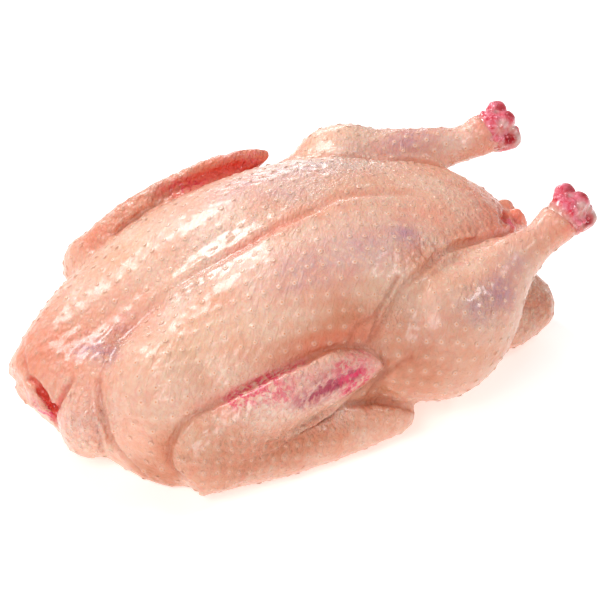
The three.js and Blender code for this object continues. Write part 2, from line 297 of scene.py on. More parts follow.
PATCHES = {
    "blush": patches(
        (390, 425, 885, 46, 4, 12, 1.0), (600, 455, 975, 50, 3, 12, 0.3),
        (40, 520, 480, 22, 40, 22, 0.6), (170, 470, 620, 24, 14, 14, 0.45),
        (100, 320, 480, 14, 14, 16, 0.25), (860, 400, 760, 22, 32, 14, 0.7),
        (800, 320, 780, 16, 18, 12, 0.4), (700, 350, 900, 16, 12, 10, 0.5),
        # The first patch on the next line is painted shade: warm red where the wing shades the low flank.
        (450, 107, 640, 26, 7, 6, 0.6), (930, 440, 630, 14, 20, 14, 1.0),
        (376, 852, 802, 20, 8, 8, 0.7), (463, 853, 843, 20, 8, 8, 0.8),
        (500, 870, 860, 26, 14, 14, 1.0), (240, 880, 620, 44, 10, 24, 0.5),
        (349, 56, 533, 24, 8, 9, 0.2), (513, 53, 529, 8, 7, 7, 0.4), (274, 103, 475, 20, 6, 5, 0.5),
        (54, 278, 357, 12, 10, 14, 0.3), (900, 200, 800, 12, 12, 10, 0.3, True),
        (935, 235, 830, 10, 14, 14, 1.0, True), (420, 60, 560, 34, 10, 8, 0.15),
    ),
    "lilac": patches(
        (760, 83, 687, 11, 9, 12, 1.0, True), (708, 52, 672, 9, 8, 10, 0.7, True),
        (808, 140, 758, 10, 8, 8, 0.5, True), (644, 286, 884, 9, 8, 9, 0.9),
        (640, 80, 660, 30, 14, 20, 0.3), (441, 256, 874, 24, 14, 14, 0.5, True),
        (560, 260, 900, 24, 14, 14, 0.5, True), (780, 712, 925, 24, 10, 10, 0.7),
        (105, 447, 517, 8, 8, 6, 0.8), (122, 420, 532, 5, 8, 6, 0.9), (128, 385, 548, 6, 6, 7, 0.9),
        (164, 455, 566, 10, 8, 8, 0.4), (500, 529, 988, 18, 9, 6, 0.4), (967, 193, 757, 6, 5, 5, 0.5),
    ),
    "fat": patches(
        (234, 251, 643, 24, 14, 18, 0.7, True), (215, 83, 330, 14, 8, 12, 0.7),
        (582, 109, 593, 20, 12, 22, 0.7, True), (660, 90, 620, 34, 16, 28, 0.8, True),
        (553, 171, 795, 8, 8, 12, 0.6, True), (55, 258, 240, 10, 8, 10, 0.5),
        (346, 850, 769, 16, 8, 8, 0.6), (333, 188, 710, 24, 10, 12, 0.3), (912, 185, 803, 6, 5, 8, 0.6),
    ),
    "blood": patches(
        (22, 430, 270, 7, 12, 6, 0.8), (284, 95, 478, 7, 6, 3, 0.9), (308, 90, 492, 8, 7, 3, 1.0),
        (334, 85, 519, 8, 7, 3.5, 1.0), (360, 82, 536, 8, 7, 3.5, 1.0), (392, 82, 560, 7, 7, 3, 0.8),
        (464, 55, 582, 12, 5, 2.0, 0.7), (484, 46, 484, 9, 7, 5, 0.8), (464, 46, 440, 8, 7, 5, 0.6),
        (346, 44, 490, 7, 6, 4, 0.5), (461, 43, 530, 10, 6, 5, 0.6), (386, 853, 817, 16, 4, 4, 0.7),
        (500, 860, 860, 14, 7, 7, 0.35), (890, 395, 690, 6, 6, 4, 0.9),
        (945, 230, 860, 7, 12, 8, 0.8, True),
    ),
    "flesh": patches(
        (32, 460, 290, 14, 26, 16, 1.0), (888, 409, 695, 6, 8, 5, 1.0), (920, 487, 556, 12, 7, 7, 0.9),
        (420, 856, 830, 50, 4, 5, 0.7), (490, 870, 865, 22, 8, 8, 1.0),
    ),
    # Red-brown skin together with painted shade on the lower, shaded sides of the flank, wing and leg.
    "rust_and_shade": patches(
        (453, 107, 644, 30, 10, 12, 1.0, True), (496, 120, 694, 12, 12, 16, 0.8, True),
        (928, 346, 249, 16, 24, 14, 0.25), (620, 60, 440, 34, 12, 18, 0.8),
        (430, 110, 600, 30, 8, 10, 0.6), (288, 30, 244, 34, 12, 14, 1.0), (380, 41, 231, 30, 8, 8, 0.5),
        (157, 153, 103, 26, 14, 14, 1.0), (764, 695, 903, 24, 10, 10, 0.6),
        (590, 41, 439, 26, 12, 18, 0.7), (528, 95, 332, 12, 8, 14, 0.9), (160, 126, 245, 8, 8, 16, 0.9),
        (166, 113, 338, 8, 8, 10, 0.7), (377, 32, 216, 40, 8, 7, 0.5), (256, 41, 342, 14, 8, 10, 0.5),
        (856, 326, 695, 10, 14, 8, 0.9), (72, 508, 502, 16, 12, 14, 0.3),
        (450, 880, 620, 60, 12, 14, 0.35),
    ),
    # Paler skin together with painted light and sheen where the skin faces the lamps.
    "pale_and_lit": patches(
        (393, 70, 566, 22, 9, 8, 1.0), (440, 70, 590, 18, 8, 6, 1.0), (340, 40, 470, 20, 9, 10, 1.0),
        (370, 60, 500, 28, 10, 9, 0.7), (510, 54, 547, 9, 8, 6, 1.0), (502, 55, 560, 9, 8, 6, 1.0),
        (430, 40, 440, 14, 5, 5, 0.6), (440, 80, 262, 20, 8, 4, 0.7), (54, 278, 357, 14, 12, 18, 0.9),
        (341, 560, 872, 36, 20, 12, 0.6), (600, 680, 940, 44, 18, 12, 1.0),
        (552, 324, 941, 30, 14, 10, 0.4), (876, 250, 807, 16, 10, 12, 0.8, True),
        (367, 380, 852, 30, 12, 10, 0.5), (131, 607, 601, 20, 14, 14, 0.3),
        (244, 394, 675, 20, 10, 12, 0.4),
    ),
    "bruise": patches(
        (378, 34, 462, 7, 7, 5, 0.7), (405, 35, 481, 8, 7, 6, 1.0), (432, 37, 511, 9, 7, 6, 1.0),
        (466, 41, 528, 9, 7, 5, 1.0), (888, 409, 700, 4, 5, 4, 0.9), (915, 429, 632, 4, 4, 3, 0.5),
    ),
    "wet": patches(
        (360, 500, 860, 46, 10, 14, 0.9), (300, 420, 800, 50, 9, 18, 0.9),
        (500, 500, 980, 30, 14, 10, 0.5), (600, 640, 960, 36, 16, 12, 0.8),
        (140, 430, 570, 14, 12, 12, 0.9), (50, 280, 360, 16, 14, 18, 0.7),
        (720, 70, 670, 12, 12, 14, 0.9, True), (570, 130, 700, 10, 8, 14, 0.7, True),
        (300, 50, 300, 50, 14, 26, 0.45), (440, 70, 260, 20, 10, 8, 0.7),
        (400, 880, 780, 60, 16, 24, 0.6), (400, 60, 550, 40, 8, 8, 0.7),
        (30, 420, 280, 12, 18, 10, 1.0),
    ),
    "lumpy": patches(
        (50, 520, 500, 26, 40, 40, 0.6), (70, 300, 280, 18, 18, 22, 0.6),
        (300, 50, 250, 50, 14, 26, 0.65), (420, 40, 480, 46, 10, 14, 0.4),
        (550, 60, 220, 26, 12, 12, 0.5), (350, 880, 750, 60, 18, 26, 1.0),
        (500, 900, 880, 30, 12, 14, 1.0), (860, 400, 780, 26, 26, 18, 0.7),
        (930, 420, 250, 26, 34, 34, 0.9), (930, 200, 800, 14, 14, 14, 0.6, True),
        (140, 420, 560, 12, 12, 10, 0.9), (680, 240, 810, 20, 10, 8, 0.7, True),
        (520, 120, 670, 14, 10, 14, 0.6, True), (360, 120, 520, 34, 8, 8, 0.4),
    ),
    "ribbed": patches(
        (220, 200, 550, 30, 20, 30, 1.0, True), (340, 150, 620, 34, 14, 16, 0.8, True),
        (140, 200, 300, 16, 16, 22, 0.8, True), (450, 250, 850, 40, 20, 14, 0.4, True),
    ),
    "dense": patches(
        (289, 33, 322, 50, 14, 26, 0.9), (470, 43, 538, 30, 10, 14, 0.8),
        (528, 43, 181, 26, 12, 12, 0.8), (400, 900, 780, 60, 18, 30, 0.9),
        (772, 87, 685, 14, 12, 16, 0.8, True), (817, 138, 754, 14, 10, 10, 0.7, True),
        (51, 268, 316, 18, 16, 18, 0.7), (919, 319, 224, 24, 40, 24, 0.8),
    ),
}
# The colour attributes of the skin, with the masks in their red, green, blue and alpha.
STAINS = ("blush", "lilac", "fat", "blood")
# The tints also carry painted shade and painted light besides real tone and wetness.
TINTS = ("rust_and_shade", "pale_and_lit", "bruise", "wet")


# ---------------------------------------------------------------------------
# Shapes as distance fields
# ---------------------------------------------------------------------------


def strengths(group, points):
    """How strongly a group of patches covers each point, 0 to 1."""
    bare = np.ones(len(points))
    for patch in group:
        for middle, size in patch.spots():
            bare *= 1 - patch.strength * np.exp(-(((points - middle) / size) ** 2).sum(1))
    return 1 - bare


def smooth_line(points, step):
    """A curve through the points, as places one step apart."""
    points = np.asarray(points, float)
    ends = np.vstack([2 * points[0] - points[1], points, 2 * points[-1] - points[-2]])
    places = []
    for a, b, c, d in zip(ends, ends[1:], ends[2:], ends[3:]):
        for t in np.linspace(0, 1, max(2, int(np.linalg.norm(c - b) / step)), endpoint=False):
            bend = (2 * a - 5 * b + 4 * c - d) * t**2
            turn = (3 * b - a - 3 * c + d) * t**3
            places.append(0.5 * (2 * b + (c - a) * t + bend + turn))
    places.append(points[-1])
    return np.array(places)


def wander(points, wave, seed):
    """Smooth random values from -1 to 1 that change over one wave length."""
    cell = points / wave + 13.7 * seed
    low = np.floor(cell).astype(np.int64)
    t = cell - low
    t = t * t * (3 - 2 * t)
    total = np.zeros(len(points))
    for corner in itertools.product((0, 1), repeat=3):
        x, y, z = (low + corner).T
        mixed = (x * 73856093) ^ (y * 19349663) ^ (z * 83492791) ^ (seed * 2654435761)
        mixed = (mixed ^ (mixed >> 13)) * 1274126177
        value = ((mixed >> 8) & 0xFFFF) / 32767.5 - 1
        total += value * np.prod(np.where(corner, t, 1 - t), axis=1)
    return total


def wrinkles(points, wave, seed, along, stretch):
    """Ridges from -1 to 1 that run in one direction, stretched that many times."""
    along = np.asarray(along) / np.linalg.norm(along)
    squeezed = points + (1 / stretch - 1) * np.multiply.outer(points @ along, along)
    return 1 - 2 * np.abs(wander(squeezed, wave, seed))


def blurred(values, sigma):
    """A grid smoothed by a Gaussian of sigma voxels."""
    reach = int(3 * sigma) + 1
    taps = np.exp(-0.5 * (np.arange(-reach, reach + 1) / sigma) ** 2)
    taps = (taps / taps.sum()).astype(np.float32)
    for axis in range(3):
        length = values.shape[axis]
        padding = [(reach, reach) if a == axis else (0, 0) for a in range(3)]
        padded = np.pad(values, padding, mode="edge")
        values = np.zeros_like(values)
        for start, tap in enumerate(taps):
            values += tap * np.take(padded, range(start, start + length), axis)
    return values


class Field:
    """Signed distances on a grid, negative inside the flesh, in metres."""

    def __init__(self, values, corner, voxel):
        self.values = values
        self.corner = corner
        self.voxel = voxel

    @classmethod
    def from_mesh(cls, mesh, voxel, reach):
        """The field of a closed mesh, true up to a reach of so many voxels."""
        points = np.empty(len(mesh.vertices) * 3, np.float32)
        mesh.vertices.foreach_get("co", points)
        mesh.calc_loop_triangles()
        triangles = np.empty(len(mesh.loop_triangles) * 3, np.int32)
        mesh.loop_triangles.foreach_get("vertices", triangles)
        grid = openvdb.FloatGrid.createLevelSetFromPolygons(
            points.reshape(-1, 3),
            triangles=triangles.reshape(-1, 3).astype(np.uint32),
            transform=openvdb.createLinearTransform(voxelSize=voxel),
            halfWidth=float(reach),
        )
        low, high = grid.evalActiveVoxelBoundingBox()
        values = np.empty(np.array(high) - low + 1, np.float32)
        grid.copyToArray(values, ijk=low)
        return cls(values, np.array(low) * voxel, voxel)

    @classmethod
    def empty(cls, low, high, voxel):
        """A field with nothing in it, over a box."""
        shape = np.ceil((np.asarray(high) - low) / voxel).astype(int) + 1
        start = np.round(np.asarray(low) / voxel)
        return cls(np.full(shape, 1.0, np.float32), start * voxel, voxel)

    def window(self, middle, reach):
        """The part of the grid within reach of a point: its slices and its places."""
        low = np.maximum(((middle - reach - self.corner) / self.voxel).astype(int), 0)
        high = ((middle + reach - self.corner) / self.voxel).astype(int) + 2
        high = np.minimum(high, self.values.shape)
        parts = tuple(slice(a, max(a, b)) for a, b in zip(low, high))
        axes = [self.corner[i] + self.voxel * np.arange(p.start, p.stop) for i, p in enumerate(parts)]
        return parts, np.stack(np.meshgrid(*axes, indexing="ij"), -1)

    def places(self):
        """The place of every voxel."""
        return self.window(self.corner, np.array(self.values.shape) * self.voxel)[1]

    def soften(self, soft, group):
        """Blends in a smoother copy of the field where a group of patches is."""
        for patch in group:
            for middle, size in patch.spots():
                parts, places = self.window(middle, 2.2 * size)
                share = patch.strength * np.exp(-(((places - middle) / size) ** 2).sum(-1))
                self.values[parts] += (share * (soft[parts] - self.values[parts])).astype(np.float32)

    def carve(self, line, width, depth, lip):
        """Presses a groove along a line and raises the flesh beside it, fading at both ends."""
        reach = 4.5 * width
        nearest = np.full(self.values.shape, 1.0, np.float32)
        fade = np.zeros(self.values.shape, np.float32)
        for share, middle in zip(np.linspace(0, 1, len(line)), line):
            parts, places = self.window(middle, reach)
            away = np.linalg.norm(places - middle, axis=-1).astype(np.float32)
            closer = away < nearest[parts]
            nearest[parts] = np.where(closer, away, nearest[parts])
            full = min(1.0, 5 * share + 0.3, 5 * (1 - share) + 0.3)
            fade[parts] = np.where(closer, full, fade[parts])
        groove = depth * np.exp(-((nearest / width) ** 2))
        lips = lip * np.exp(-(((nearest - 2.3 * width) / (0.9 * width)) ** 2))
        self.values += fade * (groove - lips)

    def lift(self, outline, height, edge, bare, full):
        """Raises the surface inside a closed outline, with a slope of one edge width round it."""
        middle = outline.mean(0)
        axes = np.linalg.svd(outline - middle)[2]
        flat = (outline - middle) @ axes[:2].T
        parts, grid = self.window(middle, np.abs(outline - middle).max(0) + 15 * MM)
        local = (grid - middle) @ axes.T
        spot = local[..., :2]
        nearest = np.full(spot.shape[:-1], 1.0)
        inside = np.zeros(spot.shape[:-1], bool)
        for a, b in zip(flat, np.roll(flat, -1, 0)):
            side = b - a
            t = np.clip((spot - a) @ side / (side @ side), 0, 1)
            nearest = np.minimum(nearest, np.linalg.norm(spot - a - t[..., None] * side, axis=-1))
            level = (spot[..., 1] - a[1]) / (side[1] or 1e-9)
            inside ^= (level >= 0) & (level < 1) & (spot[..., 0] < a[0] + level * side[0])
        rise = np.clip(0.5 + np.where(inside, nearest, -nearest) / edge, 0, 1)
        grown = np.clip((np.linalg.norm(grid - outline[0], axis=-1) - bare) / (full - bare), 0, 1)
        near = np.clip(2 - np.abs(local[..., 2]) / (10 * MM), 0, 1)
        share = rise * rise * (3 - 2 * rise) * grown * near
        self.values[parts] -= (height * share).astype(np.float32)

    def roll(self, line, radii, blend, hollow=False):
        """Joins balls along a line with a smooth web of flesh, or cuts them away."""
        radii = np.broadcast_to(radii, len(line))
        other = np.full(self.values.shape, 1.0, np.float32)
        for radius, middle in zip(radii, line):
            parts, places = self.window(middle, radius + 3 * blend + self.voxel)
            away = np.linalg.norm(places - middle, axis=-1) - radius
            other[parts] = np.minimum(other[parts], away)
        if hollow:
            self.cut(other, blend)
        else:
            self.join(other, blend)

    def trim(self, middle, out, reach, ragged):
        """Cuts off the flesh beyond a plane, near its middle, with a ragged edge."""
        parts, grid = self.window(middle, reach)
        waves = wander(grid.reshape(-1, 3), 5 * MM, 21).reshape(grid.shape[:-1])
        other = np.full(self.values.shape, 1.0, np.float32)
        other[parts] = ragged * waves - (grid - middle) @ out
        self.cut(other, 1.5 * MM)

    def join(self, other, blend):
        """Joins another field, with a fillet of about blend."""
        h = np.clip(0.5 + 0.5 * (self.values - other) / blend, 0, 1)
        self.values = (self.values + (other - self.values) * h - blend * h * (1 - h)).astype(np.float32)

    def cut(self, other, blend):
        """Cuts another field away, with a rounded edge of about blend."""
        self.values *= -1
        self.join(other, blend)
        self.values *= -1

    def sample(self, values, points):
        """Values of a grid of this field's shape at points between its voxels."""
        cell = (points - self.corner) / self.voxel
        low = np.clip(cell.astype(int), 0, np.array(values.shape) - 2)
        t = np.clip(cell - low, 0, 1)
        total = np.zeros(len(points))
        for corner in itertools.product((0, 1), repeat=3):
            total += values[tuple((low + corner).T)] * np.prod(np.where(corner, t, 1 - t), axis=1)
        return total

    def surface(self):
        """The closed surface at distance zero: points and faces that point outwards."""
        grid = openvdb.FloatGrid(float(self.values.max()))
        grid.copyFromArray(self.values)
        points, _, faces = grid.convertToPolygons(0.0, 0.0)
        points = points.astype(float) * self.voxel + self.corner
        a, b, c = (points[faces[:, i]] for i in (0, 1, 2))
        if np.einsum("ij,ij->i", a, np.cross(b, c)).sum() < 0:
            faces = faces[:, ::-1]
        return points, faces.astype(np.int64)


def normals_of(points, faces):
    """The outward direction at each point of a surface of four-sided faces."""
    a, b, c, d = (points[faces[:, i]] for i in range(4))
    flat = np.cross(c - a, d - b)
    normals = np.zeros_like(points)
    for i in range(4):
        np.add.at(normals, faces[:, i], flat)
    return normals / np.maximum(np.linalg.norm(normals, axis=1, keepdims=True), 1e-12)


def paint(mesh, attributes):
    """Colour attributes on a mesh's points, four numbers for each point."""
    for label, values in attributes.items():
        layer = mesh.attributes.new(label, "FLOAT_COLOR", "POINT")
        layer.data.foreach_set("color", values.astype(np.float32).ravel())


def linked(name, data):
    """An object in the scene that shows a mesh, a lamp or a camera."""
    piece = bpy.data.objects.new(name, data)
    bpy.context.scene.collection.objects.link(piece)
    return piece


def mesh_object(name, points, faces, material, **attributes):
    """A smooth-shaded object from points and faces, with colour attributes on its points."""
    mesh = bpy.data.meshes.new(name)
    mesh.from_pydata(points.tolist(), [], faces.tolist())
    mesh.shade_smooth()
    paint(mesh, attributes)
    mesh.materials.append(material)
    return linked(name, mesh)


def plain_mesh(piece):
    """The mesh that an object's modifiers lead to."""
    graph = bpy.context.evaluated_depsgraph_get()
    return bpy.data.meshes.new_from_object(piece.evaluated_get(graph))


# ---------------------------------------------------------------------------
# Materials
# ---------------------------------------------------------------------------


class Wire:
    """A node's output that sums and products can be written with."""

    def __init__(self, tree, socket):
        self.tree = tree
        self.socket = socket

    def math(self, operation, *terms):
        """One step of arithmetic as a node."""
        node = self.tree.nodes.new("ShaderNodeMath")
        node.operation = operation
        for slot, term in zip(node.inputs, terms):
            plug(self.tree, slot, term)
        return Wire(self.tree, node.outputs[0])

    def __add__(self, other):
        return self.math("ADD", self, other)

    def __sub__(self, other):
        return self.math("SUBTRACT", self, other)

    def __rsub__(self, other):
        return self.math("SUBTRACT", other, self)

    def __mul__(self, other):
        return self.math("MULTIPLY", self, other)

    __radd__ = __add__
    __rmul__ = __mul__

    def positive(self):
        """The value, or 0 where it is below 0."""
        return self.math("MAXIMUM", self, 0.0)

    def clamped(self):
        """The value kept between 0 and 1."""
        return self.math("MINIMUM", self.positive(), 1.0)

    def absolute(self):
        """The value without its sign."""
        return self.math("ABSOLUTE", self)


def plug(tree, slot, value):
    """Links a wire to a socket, or sets the socket's own value."""
    if isinstance(value, Wire):
        tree.links.new(value.socket, slot)
    else:
        slot.default_value = value


class Nodes:
    """The nodes of one tree."""

    def __init__(self, tree):
        self.tree = tree

    def node(self, kind, values=None, output=0, **settings):
        """A node of a kind. Its settings are set first, then its sockets' values or links."""
        made = self.tree.nodes.new(kind)
        for key, value in settings.items():
            setattr(made, key, value)
        for key, value in (values or {}).items():
            plug(self.tree, made.inputs[key], value)
        return Wire(self.tree, made.outputs[output]) if made.outputs else None


class Finish(Nodes):
    """The nodes of one material."""

    def __init__(self, name):
        self.material = bpy.data.materials.new(name)
        self.material.use_nodes = True
        super().__init__(self.material.node_tree)
        self.tree.nodes.clear()

    def coordinates(self, stretch=(1, 1, 1), turn=(0, 0, 0)):
        """Object coordinates turned to new axes, which a pattern is stretched along."""
        here = self.node("ShaderNodeTexCoord", output="Object")
        values = {"Vector": here, "Scale": stretch, "Rotation": turn}
        return self.node("ShaderNodeMapping", values, vector_type="TEXTURE")

    def noise(self, wave, detail=2.0, rough=0.5, where=None, warp=0.0):
        """Noise from 0 to 1 with features about one wave length, in metres, apart."""
        values = {"Vector": where or self.coordinates(), "Scale": 1 / wave, "Detail": detail}
        return self.node("ShaderNodeTexNoise", {**values, "Roughness": rough, "Distortion": warp})

    def cells(self, wave, values, **settings):
        """Distance from the middle of the nearest cell, for cells one wave length apart."""
        values = {"Vector": self.coordinates(), "Scale": 1 / wave, **values}
        return self.node("ShaderNodeTexVoronoi", values, output="Distance", **settings)

    def step(self, value, low, high):
        """0 below low, 1 above high and smooth between them."""
        values = {"Value": value, "From Min": low, "From Max": high}
        return self.node("ShaderNodeMapRange", values, interpolation_type="SMOOTHSTEP")

    def layers(self, base, *paints):
        """A base colour with coats over it, each a share from 0 to 1 and a colour."""
        for share, colour in paints:
            made = self.tree.nodes.new("ShaderNodeMix")
            made.data_type = "RGBA"
            for slot, value in zip((0, 6, 7), (share, base, colour)):
                plug(self.tree, made.inputs[slot], value)
            base = Wire(self.tree, made.outputs[2])
        return base

    def channels(self, name):
        """The four numbers of a colour attribute."""
        made = self.tree.nodes.new("ShaderNodeAttribute")
        made.attribute_name = name
        split = self.tree.nodes.new("ShaderNodeSeparateColor")
        self.tree.links.new(made.outputs["Color"], split.inputs[0])
        return [Wire(self.tree, socket) for socket in (*split.outputs, made.outputs["Alpha"])]

    def bump(self, height, distance):
        """A normal tilted by a height in metres times distance."""
        return self.node("ShaderNodeBump", {"Height": height, "Strength": 1.0, "Distance": distance})

    def shade(self, **values):
        """The surface shader, with its socket names written with underscores."""
        names = {key.replace("_", " "): value for key, value in values.items()}
        surface = self.node("ShaderNodeBsdfPrincipled", names)
        self.node("ShaderNodeOutputMaterial", {"Surface": surface})
        return self.material


def skin_finish(colours, name="duck_skin", depth=0.35):
    """Moist poultry skin that reads its stains, its painted shade and light, and its wetness from the
    mesh.

    Depth is how much light spreads under the surface, which only suits thick flesh.
    """
    skin = Finish(name)
    blush, lilac, fat, blood = skin.channels("stains")
    rust_and_shade, pale_and_lit, bruise, wet = skin.channels("tints")
    # The first relief channel is the painted shade of folds and hollows.
    crease_shade, lumpy, raised, flesh = skin.channels("relief")
    tip = skin.node("ShaderNodeAttribute", attribute_name="tip", output="Fac")

    broad = skin.noise(22 * MM, 3, 0.55)
    cloudy = skin.noise(7 * MM, 4, 0.6, warp=0.6)
    fine = skin.noise(1.6 * MM, 1, 0.5)
    blotches = skin.step(skin.noise(3.4 * MM, 3, 0.6, warp=0.8), 0.40, 0.60)
    veins = skin.noise(3.2 * MM, 5, 0.65, warp=1.5)
    pores = skin.cells(4.2 * MM, {"Randomness": 0.8})

    # Rounded wrinkles with sharp valleys, and goose pimples.
    drawn = skin.coordinates((3.2, 1.0, 1.0), (0, -0.644, 0.812))
    creased = (skin.noise(2.8 * MM, 1.5, 0.5, drawn, 0.4) * 2 - 1).absolute() * 2
    bumps = skin.noise(1.9 * MM, 1.5, 0.5, warp=0.3)
    pebble = skin.cells(3.0 * MM, {"Smoothness": 0.3}, feature="SMOOTH_F1")
    sheen = skin.noise(1.5 * MM, 1.5, 0.5, drawn)
    streaks = skin.step(skin.noise(2.6 * MM, 2, 0.5, drawn), 0.36, 0.6)
    # Redder skin together with painted shade in the hollows of the bump pattern, between pimples and in
    # wrinkle valleys.
    valley_shade_share = skin.step(pebble, 0.3, 0.6) * (0.15 + lumpy * 0.3)
    valley_shade_share = valley_shade_share + skin.step(creased, 0.25, 0.0) * (0.15 + lumpy * 0.1)
    dots = skin.step(pores, 0.24, 0.08) * skin.step(cloudy, 0.35, 0.6)

    colour = skin.layers(
        colours.cream,
        (skin.step(broad, 0.35, 0.68), colours.peach),
        (skin.step(cloudy, 0.5, 0.78) * 0.5, colours.pink),
        ((fat * skin.step(cloudy, 0.2, 0.7)).clamped() * 0.8, colours.fat),
        # Paler skin together with painted light where the skin faces the lamps.
        ((pale_and_lit * (0.6 + cloudy)).clamped() * 0.9, colours.pale_and_lit),
        # Red-brown skin together with painted shade on the lower, shaded sides.
        ((rust_and_shade * (0.55 + cloudy)).clamped() * 0.9, colours.rust_and_shade),
        ((blush * (0.45 + broad)).clamped() * 0.85, colours.blush),
        ((lilac * skin.step(veins + cloudy, 0.65, 1.1)).clamped() * 0.8, colours.lilac),
        # Redder skin and painted shade in the bump hollows.
        (valley_shade_share, colours.valley_red_and_shade),
        ((lumpy * dots).clamped() * 0.6, colours.blush),
        (raised * 0.3, colours.bud),
        (bruise * (streaks * 0.8 + 0.4), colours.bruise),
        (blood * (blotches * 1.7 + 0.06), colours.blood),
        # Painted shade, dark red-brown, in the folds and hollows.
        ((crease_shade * (0.6 + cloudy * 0.6)).clamped() * 0.85, colours.crease_shade),
        (flesh * (0.7 + cloudy * 0.6), colours.flesh),
        (skin.step(tip, 0.15, 0.7) * (lilac * 0.6 + 0.1), colours.bud),
        (skin.step(tip, 0.8, 1.0) * 0.9, colours.bud_eye),
    )
    height = creased * (0.22 + lumpy * 0.2) + fine * (0.15 + wet * 0.6)
    height = height + bumps * (0.25 + wet * 0.8 + lumpy * 0.5) + cloudy * 0.3
    height = height + sheen * wet * 1.3 - pebble * (0.1 + lumpy * 1.2 + wet * 0.4)
    return skin.shade(
        Base_Color=colour,
        Roughness=(0.38 - wet * 0.1 + (fine - 0.5) * 0.2 + crease_shade * 0.1 - raised * 0.08).clamped(),
        Normal=skin.bump(height, 1.3 * MM),
        IOR=1.4,
        Subsurface_Weight=depth,
        Subsurface_Radius=(1.0, 0.32, 0.16),
        Subsurface_Scale=3.5 * MM,
        Coat_Weight=(wet * 0.55 + 0.45).clamped(),
        Coat_Roughness=0.2,
    )


def joint_finish(colours):
    """Wet bare joint: magenta flesh, pearly cartilage and deep red hollows."""
    joint = Finish("duck_joint")
    pearl, deep, sinew, orange = joint.channels("stains")
    cloudy = joint.noise(4 * MM, 4, 0.6, warp=0.8)
    fine = joint.noise(1.2 * MM, 3, 0.6)
    colour = joint.layers(
        colours.flesh,
        (joint.step(cloudy, 0.3, 0.68), colours.flesh_light),
        (orange * (0.5 + cloudy), colours.orange),
        (sinew * (0.5 + cloudy), colours.sinew),
        (pearl * (0.6 + cloudy * 0.8), colours.pearl),
        (deep * (0.7 + cloudy * 0.6), colours.deep),
    )
    return joint.shade(
        Base_Color=colour,
        Roughness=(0.2 + (cloudy - 0.4) * 0.2).clamped(),
        Normal=joint.bump(cloudy * 1.2 + fine * 0.4, 1.0 * MM),
        IOR=1.4,
        Subsurface_Weight=0.1,
        Subsurface_Radius=(1.0, 0.25, 0.2),
        Subsurface_Scale=2 * MM,
        Coat_Weight=1.0,
        Coat_Roughness=0.07,
    )


def floor_finish(colour, glow):
    """A matt white floor that glows a little, as a light table does."""
    plain = Finish("floor_white")
    return plain.shade(
        Base_Color=colour,
        Roughness=(plain.noise(0.4) * 0.1 + 0.55).clamped(),
        Emission_Color=(1, 1, 1, 1),
        Emission_Strength=glow,
    )


# ---------------------------------------------------------------------------
# Settings
# ---------------------------------------------------------------------------


def colour_property(name, description, hex_code):
    """A colour property whose default is given as screen red, green and blue in hex."""
    parts = [int(hex_code[i : i + 2], 16) / 255 for i in (0, 2, 4)]
    linear = [p / 12.92 if p <= 0.04045 else ((p + 0.055) / 1.055) ** 2.4 for p in parts]
    return FloatVectorProperty(
        name=name, description=description, subtype="COLOR", size=4, min=0, max=1, default=(*linear, 1)
    )


def number_property(name, description, default, **more):
    """A plain number property."""
    return FloatProperty(name=name, description=description, default=default, **more)


def length_property(name, description, millimetres):
    """A length property whose default is given in millimetres."""
    return number_property(name, description, millimetres * MM, unit="LENGTH", min=0)


def angle_property(name, description, degrees):
    """An angle property whose default is given in degrees."""
    return number_property(name, description, math.radians(degrees), subtype="ANGLE")


def power_property(name, description, watts):
    """The power of a light."""
    return number_property(name, description, watts, unit="POWER", min=0)


class DuckSkinSettings(bpy.types.PropertyGroup):
    """Sizes and colours of the skin."""

    voxel: length_property("Voxel", "Spacing of the grid that the skin is built on", 1.35)
    seam: length_property("Seam rounding", "How far seams between the masses are rounded", 1.7)
    loose: length_property("Loose rounding", "How far seams are rounded where the skin is loose", 6)
    swell: length_property("Swell", "Height of the broad unevenness of the skin", 0.8)
    crepe: length_property("Crepe", "Height of the fine wrinkles of loose skin", 0.6)
    rib: length_property("Ribs", "Height of the ribs that join follicles", 0.75)
    mound: length_property("Mounds", "Height of the swelling round a follicle", 0.33)
    kept: number_property("Kept", "Share of the underside's faces that stay", 0.81, min=0.1, max=1)
    cream: colour_property("Cream", "Palest skin", "F6CCB4")
    peach: colour_property("Peach", "Warmer patches of the skin", "F2B294")
    pink: colour_property("Pink", "Mottling under the skin", "EC9C96")
    fat: colour_property("Fat", "Skin with yellow fat under it", "EECBA4")
    # Partly redder skin, partly painted shade in the hollows between goose pimples.
    valley_red_and_shade: colour_property("Valley", "Redder skin between goose pimples", "EE9070")
    blush: colour_property("Blush", "Coral pink along the keel, the neck and the vent", "FA8468")
    lilac: colour_property("Lilac", "Bluish flesh that shows through", "BA86A2")
    blood: colour_property("Blood", "Bare red flesh and blood under the skin", "EC3664")
    # Partly red-brown skin, partly painted shade on the lower, shaded sides.
    rust_and_shade: colour_property("Rust", "Red-brown skin of the flanks, wings and tail", "CC7A50")
    # Partly paler skin, partly painted light and sheen on surfaces that face the lamps.
    pale_and_lit: colour_property("Pale", "Whitest skin on top of the breast and legs", "FFE4D4")
    bruise: colour_property("Bruise", "Purple in the hollow of the wing", "B84058")
    # Painted shade: the dark red-brown laid in folds and hollows, darker where the skin lies deeper.
    crease_shade: colour_property("Crease", "Skin deep in a fold", "B4502C")
    flesh: colour_property("Flesh", "Orange-red flesh inside the neck and the vent", "F0442E")
    bud: colour_property("Bud", "Rim of a follicle bud", "FFD6BE")
    bud_eye: colour_property("Bud eye", "Middle of a follicle bud", "E8884C")


